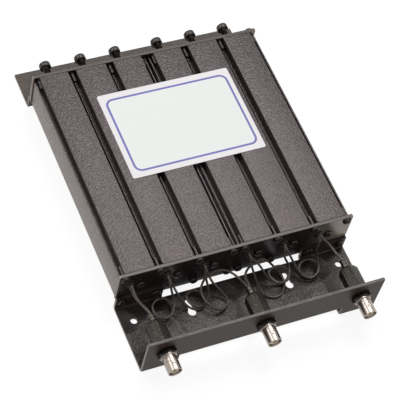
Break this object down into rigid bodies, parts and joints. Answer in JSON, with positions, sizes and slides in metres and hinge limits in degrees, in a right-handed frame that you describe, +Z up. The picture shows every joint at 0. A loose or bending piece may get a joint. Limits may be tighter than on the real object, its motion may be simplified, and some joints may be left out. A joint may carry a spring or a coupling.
{
  "type": "cavity duplexer",
  "caption": "Mobile radio duplexer: two blocks of tuned cavities between end plates, on folded brackets, with bayonet coaxial jacks on a front lip and thin leads between them.",
  "frame": {"origin": "centre of the bounding box's bottom, on the brackets' underside", "axes": "+Y from the jacks to the tuning screws, +Z up out of the surface it is fixed to, +X to the right seen from the jacks"},
  "size_m": [0.17, 0.266, 0.0372],
  "materials": {
    "cavity_blocks": "satin",
    "end_plates": "satin",
    "brackets": "satin",
    "label": "satin",
    "resonators": "satin",
    "loops": "satin",
    "tuning_brass": "satin",
    "caps": "gloss",
    "plated_steel": "satin",
    "dark_screws": "gloss",
    "grommets": "satin",
    "nickel": "gloss",
    "dark_sleeves": "satin",
    "ferrules": "satin",
    "insulators": "satin",
    "contacts": "gloss",
    "lead_jackets": "satin"
  },
  "bodies": {
    "housing": {"cavity_block_left": "cavity_blocks", "cavity_block_right": "cavity_blocks", "front_end_plate": "end_plates", "rear_end_plate": "end_plates", "front_bracket": "brackets", "rear_bracket": "brackets", "label_plate": "label", "resonator_rod_1": "resonators", "resonator_rod_2": "resonators", "resonator_rod_3": "resonators", "resonator_rod_4": "resonators", "resonator_rod_5": "resonators", "resonator_rod_6": "resonators", "coupling_loop_1": "loops", "coupling_loop_2": "loops", "coupling_loop_3": "loops", "coupling_loop_4": "loops", "coupling_loop_5": "loops", "coupling_loop_6": "loops", "tuning_bushings": "tuning_brass", "tuning_lock_nuts": "plated_steel", "resonator_screws": "dark_screws", "front_plate_screws": "dark_screws", "rear_plate_screws": "dark_screws", "front_bracket_screws": "dark_screws", "rear_bracket_screws": "dark_screws", "lead_grommets": "grommets", "connector_body_1": "nickel", "connector_body_2": "nickel", "connector_body_3": "nickel", "connector_sleeve_1": "dark_sleeves", "connector_sleeve_2": "dark_sleeves", "connector_sleeve_3": "dark_sleeves", "connector_nuts": "dark_screws", "connector_washers": "dark_screws", "connector_insulators": "insulators", "connector_contacts": "contacts", "cable_ferrules": "ferrules", "lead_jack_1_to_1": "lead_jackets", "lead_1_to_2": "lead_jackets", "lead_2_to_3": "lead_jackets", "lead_3_to_jack_2": "lead_jackets", "lead_jack_2_to_4": "lead_jackets", "lead_4_to_5": "lead_jackets", "lead_5_to_6": "lead_jackets", "lead_6_to_jack_3": "lead_jackets"},
    "tuner_1": {"tuning_screw_1": "dark_screws", "tuning_cap_1": "caps"},
    "tuner_2": {"tuning_screw_2": "dark_screws", "tuning_cap_2": "caps"},
    "tuner_3": {"tuning_screw_3": "dark_screws", "tuning_cap_3": "caps"},
    "tuner_4": {"tuning_screw_4": "dark_screws", "tuning_cap_4": "caps"},
    "tuner_5": {"tuning_screw_5": "dark_screws", "tuning_cap_5": "caps"},
    "tuner_6": {"tuning_screw_6": "dark_screws", "tuning_cap_6": "caps"}
  },
  "joints": [
    {"name": "tuning_1", "type": "slide", "parent": "housing", "child": "tuner_1", "axis": [0, 1, 0], "range_m": [-0.006, 0.006]},
    {"name": "tuning_2", "type": "slide", "parent": "housing", "child": "tuner_2", "axis": [0, 1, 0], "range_m": [-0.006, 0.006]},
    {"name": "tuning_3", "type": "slide", "parent": "housing", "child": "tuner_3", "axis": [0, 1, 0], "range_m": [-0.006, 0.006]},
    {"name": "tuning_4", "type": "slide", "parent": "housing", "child": "tuner_4", "axis": [0, 1, 0], "range_m": [-0.006, 0.006]},
    {"name": "tuning_5", "type": "slide", "parent": "housing", "child": "tuner_5", "axis": [0, 1, 0], "range_m": [-0.006, 0.006]},
    {"name": "tuning_6", "type": "slide", "parent": "housing", "child": "tuner_6", "axis": [0, 1, 0], "range_m": [-0.006, 0.006]}
  ]
}
